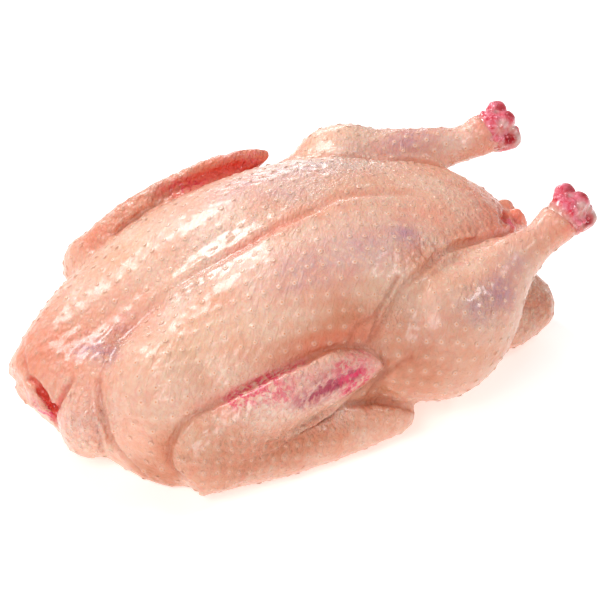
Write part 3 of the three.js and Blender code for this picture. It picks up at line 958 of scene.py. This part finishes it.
class DuckBudSettings(bpy.types.PropertyGroup):
    """Sizes of the follicle buds."""

    spacing: length_property("Spacing", "Distance between follicles in a row", 8.5)
    radius: length_property("Radius", "Radius of a large bud", 1.8)
    height: length_property("Height", "Height of a large bud", 0.36)
    turn: angle_property("Turn", "Angle of the rows from the body's length", 14)
    eases: IntProperty(name="Eases", description="How often the rows are evened out", min=0, default=8)
    seed: IntProperty(name="Seed", description="Seed of the uneven places and sizes", default=7)


class DuckJointSettings(bpy.types.PropertyGroup):
    """Sizes and colours of the bare leg joints."""

    voxel: length_property("Voxel", "Spacing of the grid that the joints are built on", 0.55)
    flesh: colour_property("Flesh", "Deep magenta flesh", "E81E40")
    flesh_light: colour_property("Light flesh", "Paler pink flesh", "FF8AA0")
    pearl: colour_property("Cartilage", "Grey-white cartilage", "E6C8BC")
    deep: colour_property("Hollow", "Dark red of the hollows", "C40A20")
    sinew: colour_property("Sinew", "Pale skin and sinew round the joint", "EFBFA8")
    orange: colour_property("Rim", "Orange-red rim of the hollow bone", "E0603C")


class DuckStageSettings(bpy.types.PropertyGroup):
    """The floor, the lights and the camera."""

    floor: colour_property("Floor", "Colour of the floor", "FCFCFC")
    glow: number_property("Glow", "Light that the floor gives off", 0.42, min=0)
    distance: length_property("Distance", "From the camera to the middle of the bird", 1037.5)
    azimuth: angle_property("Azimuth", "Camera's direction round the bird", -25)
    elevation: angle_property("Elevation", "Camera's height angle", 34)
    key_power: power_property("Key", "Power of the large light behind", 9.0)
    side_power: power_property("Side", "Power of the soft light at the left", 4.9)
    front_power: power_property("Front", "Power of the small light at the right", 1.6)
    back_power: power_property("Back", "Power of the low light behind", 2.2)
    fill: number_property("Fill", "Strength of the light from all round", 0.40, min=0)


# ---------------------------------------------------------------------------
# Ends of the legs
# ---------------------------------------------------------------------------

# The two legs: their joint, the side they are on and how far the skin stops short, in mm.
LEGS = (("left_hock", 1, 4.5), ("right_hock", -1, 7.5))


def joint_axes(node, side):
    """The middle of a leg's end and its outward, across and over directions."""
    low, high = (np.array(c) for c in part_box(node))
    # The middle lies this far inside the tip and under the top of the leg's end.
    heart = high - (13.2 * MM, 0, 13.5 * MM)
    heart[1] = (low[1] + high[1]) / 2
    # The legs point back, up and a little inwards, on a bird that leans.
    x, y, z = 0.86, -0.16 * side, 0.48
    tilt, lift = math.cos(LEAN), math.sin(LEAN)
    out = np.array([x, y * tilt - z * lift, y * lift + z * tilt])
    out /= np.linalg.norm(out)
    across = np.cross((0, 0, 1), out)
    across /= np.linalg.norm(across)
    return heart, out, across, np.cross(out, across)


# ---------------------------------------------------------------------------
# Skin
# ---------------------------------------------------------------------------


def lines_of(item, tree, sink):
    """The smooth line of a fold or roll, and its twin where it has one.

    With a sink, each line is laid on the skin and then so far under it.
    """
    line = smooth_line(place(item.points), 1.5 * MM)
    lines = (line, twin(line)) if item.both else (line,)
    if sink is None:
        return lines
    laid = []
    for line in lines:
        found = [tree.find_nearest(Vector(point)) for point in line]
        laid.append(np.array([point - out * sink for point, out, _, _ in found]))
    return laid


def tree_of(points, faces):
    """A search tree over a surface."""
    return BVHTree.FromPolygons(points.tolist(), faces.tolist())


def lookup_of(points):
    """A search tree over loose points."""
    lookup = kdtree.KDTree(len(points))
    for i, point in enumerate(points):
        lookup.insert(point, i)
    lookup.balance()
    return lookup


def distances(points, others):
    """How far each point is from the nearest of the others."""
    lookup = lookup_of(others)
    return np.array([lookup.find(point)[2] for point in points])


def row_directions(point, normal, turn):
    """Along a row of follicles and across it, on the skin at a point."""
    side = math.copysign(1, (np.array(point) - place(MIDLINE)) @ ACROSS)
    along = Vector((1, 0, 0)) - normal * normal.x
    if along.length < 0.05:
        along = Vector((0, 0, -1)) + normal * normal.z
    along.normalize()
    row = along * math.cos(turn) + normal.cross(along) * (side * math.sin(turn))
    return row, normal.cross(row), side


def grown_rows(tree, settings):
    """Follicles grown over the skin from both sides of the breast, row by row.

    Returns their places, outward directions and gaps to the next.
    """
    spots, outs, gaps, queue = [], [], [], []
    cells = {}

    def cell_of(point):
        return tuple(np.floor(np.array(point) / settings.spacing).astype(int))

    def crowded(point, gap):
        for step in itertools.product((-1, 0, 1), repeat=3):
            for other in cells.get(tuple(np.add(cell_of(point), step)), ()):
                if (spots[other] - point).length < gap:
                    return True
        return False

    def add(point, normal):
        cells.setdefault(cell_of(point), []).append(len(spots))
        queue.append(len(spots))
        spots.append(point)
        outs.append(normal)
        crowd = strengths(PATCHES["dense"], np.array([point]))[0]
        gaps.append(settings.spacing * (1 - 0.36 * crowd))

    for start in ROW_STARTS:
        add(*tree.find_nearest(Vector(place(start)))[:2])
    while queue:
        index = queue.pop(0)
        point, normal, gap = spots[index], outs[index], gaps[index]
        row, column, _ = row_directions(point, normal, settings.turn)
        for step in (row, -row, column, -column):
            found, out, _, _ = tree.find_nearest(point + step * gap)
            if found.z > 2.5 * MM and out.dot(normal) > 0.2 and not crowded(found, 0.74 * gap):
                add(found, out)
    return spots, outs, gaps


def eased_rows(tree, spots, outs, gaps, turn):
    """The follicles, each nearer to where its neighbours in the rows expect it."""
    lookup = lookup_of(spots)
    eased = []
    for index, (point, normal, gap) in enumerate(zip(spots, outs, gaps)):
        row, column, _ = row_directions(point, normal, turn)
        expected = [point]
        for step in (row, -row, column, -column):
            _, other, away = lookup.find(point + step * gap)
            if other != index and away < 0.45 * gap:
                expected.append(spots[other] - step * gap)
        middle = sum(expected, Vector()) / len(expected)
        eased.append(tree.find_nearest(middle)[:2])
    return ([item[i] for item in eased] for i in (0, 1))


def ribs_between(spots, outs, gaps, turn):
    """The pairs of follicles that ribs of skin join."""
    lookup = lookup_of(spots)
    ribs = []
    for index, (point, normal, gap) in enumerate(zip(spots, outs, gaps)):
        row, column, side = row_directions(point, normal, turn)
        for step in (row, row - column * side):
            _, other, away = lookup.find(point + step * gap)
            if other != index and away < 0.4 * gap:
                ribs.append((index, other))
    return ribs


def spread_follicles(tree, settings):
    """The places of the follicles and the pairs that ribs join."""
    spots, outs, gaps = grown_rows(tree, settings)
    for _ in range(settings.eases):
        spots, outs = eased_rows(tree, spots, outs, gaps, settings.turn)
    return np.array(spots), ribs_between(spots, outs, gaps, settings.turn)


def masks_of(names, points):
    """Four masks side by side, as a colour attribute takes them."""
    return np.stack([strengths(PATCHES[name], points) for name in names], 1)


def thin_underside(piece, share):
    """Leaves only a share of the faces where the skin faces the table."""
    mesh = piece.data
    group = piece.vertex_groups.new(name="underside")
    group.add([v.index for v in mesh.vertices if v.normal.z < -0.3], 1.0, "REPLACE")
    fewer = piece.modifiers.new("fewer", "DECIMATE")
    fewer.ratio = share
    fewer.vertex_group = group.name
    thinned = plain_mesh(piece)
    piece.modifiers.clear()
    piece.vertex_groups.clear()
    piece.data = thinned
    thinned.name = mesh.name


def rounded_carcass(settings):
    """The carcass with the skin of its legs cut ragged and its seams rounded."""
    field = Field.from_mesh(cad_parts["carcass"].data, settings.voxel, 12)
    for node, side, short in LEGS:
        heart, out, _, over = joint_axes(node, side)
        line = [heart - out * away * MM for away in range(6, 30, 2)]
        field.roll(line, np.linspace(12.6, 8.5, len(line)) * MM, 3 * MM)
        field.trim(heart - out * short * MM, out + 0.05 * short * over, 26 * MM, 1.5 * MM)
    widths = (0.8 * settings.seam, 2 * settings.seam, settings.loose)
    crisp, field.values, soft = (blurred(field.values, width / settings.voxel) for width in widths)
    field.soften(soft, SOFT)
    field.soften(crisp, CRISP)
    return field


def add_masses(field):
    """Raises the wing's hand and wrist, and lays on or cuts out the rolls of flesh."""
    for item in RAISED:
        sizes = (item.height * MM, item.edge * MM, item.bare * MM, item.full * MM)
        field.lift(place(item.outline), *sizes)
    tree = tree_of(*field.surface())
    for item in ROLLS:
        sink = item.sink * MM if item.sink is not None else None
        for line in lines_of(item, tree, sink):
            field.roll(line, item.radius * MM, item.blend * MM, item.hollow)


def press_folds(field):
    """Presses in the folds. Returns a search tree over their lines and the painted shade at each place."""
    tree = tree_of(*field.surface())
    lines = [(fold, line) for fold in FOLDS + PUCKERS for line in lines_of(fold, tree, 0)]
    for fold, line in lines:
        field.carve(line, fold.width * MM, fold.depth * MM, fold.lip * MM)
    # The painted shade that each fold lays along its line.
    stains = [fold.painted_shade for fold, line in lines for _ in line]
    return lookup_of([point for _, line in lines for point in line]), stains


def skin_relief(points, spots, joined, settings):
    """How high the skin stands over its smooth shape, how lumpy it is and how raised, 0 to 1."""
    lumpy, ribbed, wet = (strengths(PATCHES[name], points) for name in ("lumpy", "ribbed", "wet"))
    height = settings.swell * (0.6 * wander(points, 34 * MM, 1) + 0.5 * wander(points, 13 * MM, 2))
    drawn = wrinkles(points, 4.6 * MM, 3, WRINKLES_ALONG, 2.4)
    height += settings.crepe * (0.25 + 0.75 * lumpy) * (drawn + 0.5 * wander(points, 3.4 * MM, 4))
    height += settings.crepe * 0.7 * wet * wander(points, 3.6 * MM, 6)
    rib = np.exp(-((distances(points, joined) / (1.6 * MM)) ** 2)) * ribbed
    mound = np.exp(-((distances(points, spots) / (1.9 * MM)) ** 2)) * (1 - 0.5 * lumpy)
    height += settings.rib * rib + settings.mound * mound
    return height, lumpy, np.clip(mound + 0.35 * rib, 0, 1)


class DUCK_OT_skin(bpy.types.Operator):
    """Makes the skin from the carcass: rounded, folded, wrinkled, stained and given painted shade and
    light.
    """

    bl_idname = "duck.skin"
    bl_label = "Skin"

    def execute(self, context):
        settings = context.scene.duck_skin
        field = rounded_carcass(settings)
        add_masses(field)
        folds, stains = press_folds(field)
        points, faces = field.surface()
        normals = normals_of(points, faces)

        cavity = -field.sample(blurred(field.values, 3.2 * MM / settings.voxel), points)
        # Painted shade: skin lying in a hollow of the smoothed shape, or along a fold line, is darkened.
        crease_shade = np.clip(cavity / (1.6 * MM), 0, 1) ** 1.5 * 0.4
        found = [folds.find(point) for point in points]
        drawn = [stains[i] * math.exp(-((away / (1.3 * MM)) ** 2)) for _, i, away in found]
        crease_shade = np.clip(np.maximum(crease_shade, drawn), 0, 1)

        spots, ribs = spread_follicles(tree_of(points, faces), context.scene.duck_buds)
        joined = [spots[a] * (1 - t) + spots[b] * t for a, b in ribs for t in np.linspace(0, 1, 7)]
        away = np.array([folds.find(spot)[2] for spot in spots])
        spots = spots[(away > 2.2 * MM) & (strengths(PATCHES["flesh"], spots) < 0.3)]
        places = bpy.data.meshes.new("follicle_places")
        places.from_pydata(spots.tolist(), [], [])

        height, lumpy, raised = skin_relief(points, spots, joined, settings)
        points = points + normals * height[:, None]
        points[:, 2] = np.maximum(points[:, 2], 0)
        flesh = strengths(PATCHES["flesh"], points) * np.clip(0.5 + cavity / (0.7 * MM), 0, 1)
        skin = mesh_object(
            "duck_skin",
            points,
            faces,
            skin_finish(settings),
            stains=masks_of(STAINS, points),
            tints=masks_of(TINTS, points),
            relief=np.stack([crease_shade, lumpy, raised, flesh], 1),
        )
        thin_underside(skin, settings.kept)
        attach(skin, "root")
        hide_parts("carcass")
        return {"FINISHED"}


# ---------------------------------------------------------------------------
# Follicle buds
# ---------------------------------------------------------------------------


def bud_tree(material):
    """Geometry nodes that set a bud on every point, upright on the skin."""
    tree = bpy.data.node_groups.new("follicle_buds", "GeometryNodeTree")
    sockets = (("Geometry", "INPUT"), ("Radius", "INPUT"), ("Height", "INPUT"), ("Geometry", "OUTPUT"))
    for label, way in sockets:
        kind = "NodeSocketGeometry" if label == "Geometry" else "NodeSocketFloat"
        tree.interface.new_socket(label, in_out=way, socket_type=kind)
    node = Nodes(tree).node

    # A bud is a ball squashed to a bell, narrower towards its tip.
    where = node("GeometryNodeInputPosition")
    up = node("ShaderNodeSeparateXYZ", {"Vector": where}, output="Z").positive()
    wide = (1 - up * 0.25) * node("NodeGroupInput", output="Radius")
    tall = (up * 0.65 + 0.35) * node("NodeGroupInput", output="Height")
    stretch = node("ShaderNodeCombineXYZ", {"X": wide, "Y": wide, "Z": tall})
    shaped = node("ShaderNodeVectorMath", {0: where, 1: stretch}, operation="MULTIPLY")
    ball = node("GeometryNodeMeshUVSphere", {"Segments": 8, "Rings": 5, "Radius": 1.0})
    values = {"Geometry": ball, "Name": "tip", "Value": up}
    tipped = node("GeometryNodeStoreNamedAttribute", values, data_type="FLOAT", domain="POINT")
    bud = node("GeometryNodeSetPosition", {"Geometry": tipped, "Position": shaped})

    lean = node("GeometryNodeInputNamedAttribute", {"Name": "out"}, data_type="FLOAT_VECTOR")
    values = {
        "Points": node("NodeGroupInput", output="Geometry"),
        "Instance": bud,
        "Rotation": node("FunctionNodeAlignRotationToVector", {"Vector": lean}, axis="Z"),
        "Scale": node("GeometryNodeInputNamedAttribute", {"Name": "size"}, data_type="FLOAT"),
    }
    spread = node("GeometryNodeInstanceOnPoints", values)
    real = node("GeometryNodeRealizeInstances", {"Geometry": spread})
    smooth = node("GeometryNodeSetShadeSmooth", {"Geometry": real})
    dressed = node("GeometryNodeSetMaterial", {"Geometry": smooth, "Material": material})
    node("NodeGroupOutput", {"Geometry": dressed})
    return tree


class DUCK_OT_buds(bpy.types.Operator):
    """Sets a small raised bud on every follicle of the skin."""

    bl_idname = "duck.buds"
    bl_label = "Follicle buds"

    def execute(self, context):
        settings = context.scene.duck_buds
        skin = bpy.data.objects["duck_skin"]
        tree = BVHTree.FromObject(skin, context.evaluated_depsgraph_get())
        chance = np.random.default_rng(settings.seed)
        snapped = []
        for vertex in bpy.data.meshes["follicle_places"].vertices:
            near = vertex.co + Vector(chance.normal(0, 0.12 * MM, 3))
            snapped.append(tree.find_nearest(near)[:2])
        spots, outs = (np.array([item[i] for item in snapped]) for i in (0, 1))
        lumpy, dense = (strengths(PATCHES[name], spots) for name in ("lumpy", "dense"))
        size = chance.uniform(0.75, 1.0, len(spots)) * (1 - 0.45 * np.maximum(lumpy, 0.6 * dense))

        places = bpy.data.meshes.new("bud_places")
        places.from_pydata(spots.tolist(), [], [])
        places.attributes.new("out", "FLOAT_VECTOR", "POINT").data.foreach_set("vector", outs.ravel())
        places.attributes.new("size", "FLOAT", "POINT").data.foreach_set("value", size)
        none = np.zeros_like(lumpy)
        relief = np.stack([none, lumpy, none + 1, none], 1)
        stains, tints = masks_of(STAINS, spots), masks_of(TINTS, spots)
        paint(places, {"stains": stains, "tints": tints, "relief": relief})

        holder = linked("bud_places", places)
        modifier = holder.modifiers.new("buds", "NODES")
        modifier.node_group = bud_tree(skin_finish(context.scene.duck_skin, "duck_buds", 0.0))
        sizes = {"Radius": settings.radius, "Height": settings.height}
        for item in modifier.node_group.interface.items_tree:
            if item.in_out == "INPUT" and item.name in sizes:
                modifier[item.identifier] = sizes[item.name]
        buds = linked("follicle_buds", plain_mesh(holder))
        bpy.data.objects.remove(holder)
        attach(buds, "root")
        return {"FINISHED"}


# ---------------------------------------------------------------------------
# Bare joints
# ---------------------------------------------------------------------------

# What a bare joint is made of, in order. A bead joins balls along its points, a pit
# cuts them away, and a groove is a slot across the joint. Points are out, across and
# over from the middle of the leg's end. They, the radii and the webs are in mm.
JOINT_MASSES = (
    ("bead", ((-3, 1, -1),), 10.8, 2.0),
    ("bead", ((1.5, 8, 3.5), (2.5, 8.5, 4)), 6.3, 0.8),
    ("groove", ((7.5, 4.5, 10),), 1.6, 1.3),
    ("bead", ((3, 0, 1.5), (4, -1, 1.5)), 6.2, 0.8),
    ("groove", ((9.5, -3, 5.5),), 0.9, 1.2),
    ("bead", ((2.5, -6, 3.5),), 2.6, 0.6),
    ("bead", ((1, -3, -7.5), (2.5, -3, -9)), 6.4, 0.8),
    ("bead", ((5.5, -5, -4), (7, -2, -6)), 2.6, 0.8),
    ("bead", ((-2, -3, -9), (-6, -3, -8)), 5.5, 2.0),
    ("pit", ((1.8, -9.8, -5.5),), 2.9, 1.0),
)
# Stained spots of a joint: where they are, how far they reach in mm and how strong they are.
JOINT_STAINS = {
    "pearl": (
        ((2.5, -6.5, 4), 2.8, 1),
        ((5.5, -8, -8.5), 4.8, 1),
        ((2, 2, 8.5), 2.4, 0.6),
        ((5.5, -5.5, -2), 2.6, 0.7),
    ),
    "deep": (
        ((1.8, -9.8, -5.5), 4, 1.6),
        ((6, 3, -12), 5, 0.8),
        ((7, 4.5, 8), 3.6, 1),
        ((9, -3, 5), 3, 1),
        ((2, -3.5, 3.5), 2, 0.7),
    ),
    "orange": (((5, -7, -12), 4, 1), ((5, -7.5, -1), 2.6, 1)),
    "upper_sinew": (((-4, -10, -7), 4.5, 0.7),),
    "lower_sinew": (((-1, -9, 3), 3.5, 0.6),),
}


def joint_surface(at, across, field):
    """The surface of one bare joint. At turns distances along its axes into a place."""
    shaft = [at(-6 - 3 * i, 0, 0) for i in range(4)]
    field.roll(shaft, np.linspace(10.8, 8.5, 4) * MM, 2 * MM)
    for kind, places, size, web in JOINT_MASSES:
        line = [at(*spot) for spot in places]
        if kind == "groove":
            grid = field.places() - line[0]
            away = np.abs(grid @ across) + 0.3 * np.linalg.norm(grid, axis=-1)
            field.cut((away - size * MM).astype(np.float32), web * MM)
        else:
            field.roll(line, size * MM, web * MM, kind == "pit")
    # Shreds of flesh and sinew between the knobs and the skin.
    for turn in range(9):
        angle = math.radians(60 + 37 * turn)
        reach = 10.5 + 1.2 * math.sin(5 * turn)
        ends = [(-8 + 3 * i, angle + 0.12 * i) for i in range(4)]
        shred = [at(back, reach * math.cos(a), reach * math.sin(a)) for back, a in ends]
        field.roll(shred, np.array([1.2, 1.9, 1.6, 1.0]) * MM, 1.2 * MM)
    points, faces = field.surface()
    rough = 0.45 * MM * wander(points, 3.0 * MM, 11)
    return points + normals_of(points, faces) * rough[:, None], faces


class DUCK_OT_joints(bpy.types.Operator):
    """Makes the two bare leg joints: magenta knobs, a ring of bone and torn flesh."""

    bl_idname = "duck.joints"
    bl_label = "Leg joints"

    def execute(self, context):
        settings = context.scene.duck_joints
        finish = joint_finish(settings)
        for node, side, _ in LEGS:
            low, high = (np.array(c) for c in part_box(node))
            heart, out, across, over = joint_axes(node, side)

            def at(outward, sideways, upward):
                return heart + (out * outward + across * sideways + over * upward) * MM

            field = Field.empty(low - 3 * MM, high + 3 * MM, settings.voxel)
            points, faces = joint_surface(at, across, field)
            stains = {}
            for name, spots in JOINT_STAINS.items():
                total = np.zeros(len(points))
                for spot, reach, strength in spots:
                    away = np.linalg.norm(points - at(*spot), axis=1)
                    total += strength * np.exp(-((away / (reach * MM)) ** 2))
                stains[name] = np.clip(total, 0, 1)
            # Sinew covers the shaft too, more so further back.
            back = np.clip(((heart - points) @ out / MM - 5) / 6, 0, 1)
            sinew = np.maximum(back, np.maximum(stains["upper_sinew"], stains["lower_sinew"]))
            layers = [stains["pearl"], stains["deep"], sinew, stains["orange"] * 0.8]
            piece = mesh_object(node + "_flesh", points, faces, finish, stains=np.stack(layers, 1))
            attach(piece, "root")
            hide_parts(node)
        return {"FINISHED"}


# ---------------------------------------------------------------------------
# Stage
# ---------------------------------------------------------------------------


def area_light(name, position, target, size, power):
    """A soft rectangular light that faces a target."""
    data = bpy.data.lights.new(name, "AREA")
    data.shape = "RECTANGLE"
    data.size, data.size_y = size
    data.energy = power
    lamp = linked(name, data)
    lamp.location = position
    lamp.rotation_euler = (target - Vector(position)).to_track_quat("-Z", "Y").to_euler()


# Half the width of the floor, in metres.
FLOOR_REACH = 3.0
# What the lens looks at, a little above the middle of the bird, and its length in mm.
TARGET = Vector((2.4 * MM, -0.8 * MM, 49.6 * MM))
LENS = 111.3


class DUCK_OT_stage(bpy.types.Operator):
    """Lays a pale floor and sets the lights and the camera."""

    bl_idname = "duck.stage"
    bl_label = "Stage"

    def execute(self, context):
        settings = context.scene.duck_stage
        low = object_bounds()[0][2]
        corners = np.array([(-1, -1, 0), (1, -1, 0), (1, 1, 0), (-1, 1, 0)]) * FLOOR_REACH
        corners += (0, 0, low - 0.1 * MM)
        finish = floor_finish(settings.floor, settings.glow)
        floor = mesh_object("floor", corners, np.array([[0, 1, 2, 3]]), finish)
        floor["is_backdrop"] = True
        area_light("key", (-0.35, 0.83, 0.98), TARGET, (0.46, 0.42), settings.key_power)
        area_light("side", (-0.68, -0.66, 0.9), TARGET, (0.42, 0.4), settings.side_power)
        area_light("front", (0.77, -0.36, 0.98), TARGET, (0.16, 0.16), settings.front_power)
        area_light("back", (0.35, 1.25, 0.4), TARGET, (0.6, 0.15), settings.back_power)
        world = bpy.data.worlds.new("studio")
        world.use_nodes = True
        background = world.node_tree.nodes["Background"]
        background.inputs["Color"].default_value = (1.0, 0.99, 0.98, 1)
        background.inputs["Strength"].default_value = settings.fill
        context.scene.world = world
        context.scene.view_settings.view_transform = "Standard"

        turn, rise = settings.azimuth, settings.elevation
        level = math.cos(rise)
        back = Vector((math.sin(turn) * level, -math.cos(turn) * level, math.sin(rise)))
        data = bpy.data.cameras.new("camera")
        data.sensor_width = 36
        data.lens = LENS
        data.clip_start = 0.01
        camera = linked("camera", data)
        camera.location = TARGET + back * settings.distance
        camera.rotation_euler = (-back).to_track_quat("-Z", "Y").to_euler()
        context.scene.camera = camera
        return {"FINISHED"}


class DUCK_PT_panel(bpy.types.Panel):
    """Lists the duck's parts and their settings in the sidebar."""

    bl_idname = "DUCK_PT_panel"
    bl_label = "Duck"
    bl_space_type = "VIEW_3D"
    bl_region_type = "UI"
    bl_category = "Duck"

    def draw(self, context):
        for operator, name, group in PARTS:
            box = self.layout.box()
            box.operator(operator.bl_idname)
            for setting in group.__annotations__:
                box.prop(getattr(context.scene, name), setting)


PARTS = (
    (DUCK_OT_skin, "duck_skin", DuckSkinSettings),
    (DUCK_OT_buds, "duck_buds", DuckBudSettings),
    (DUCK_OT_joints, "duck_joints", DuckJointSettings),
    (DUCK_OT_stage, "duck_stage", DuckStageSettings),
)
CLASSES = (*(cls for operator, _, group in PARTS for cls in (group, operator)), DUCK_PT_panel)


def register():
    """Adds the settings, operators and panel to Blender."""
    for cls in CLASSES:
        bpy.utils.register_class(cls)
    for _, name, group in PARTS:
        setattr(bpy.types.Scene, name, PointerProperty(type=group))


def unregister():
    """Takes them away again."""
    for _, name, _ in PARTS:
        delattr(bpy.types.Scene, name)
    for cls in reversed(CLASSES):
        bpy.utils.unregister_class(cls)


def main():
    """Makes every part in order."""
    register()
    bpy.ops.duck.skin()
    bpy.ops.duck.buds()
    bpy.ops.duck.joints()
    bpy.ops.duck.stage()


if __name__ == "__main__":
    main()
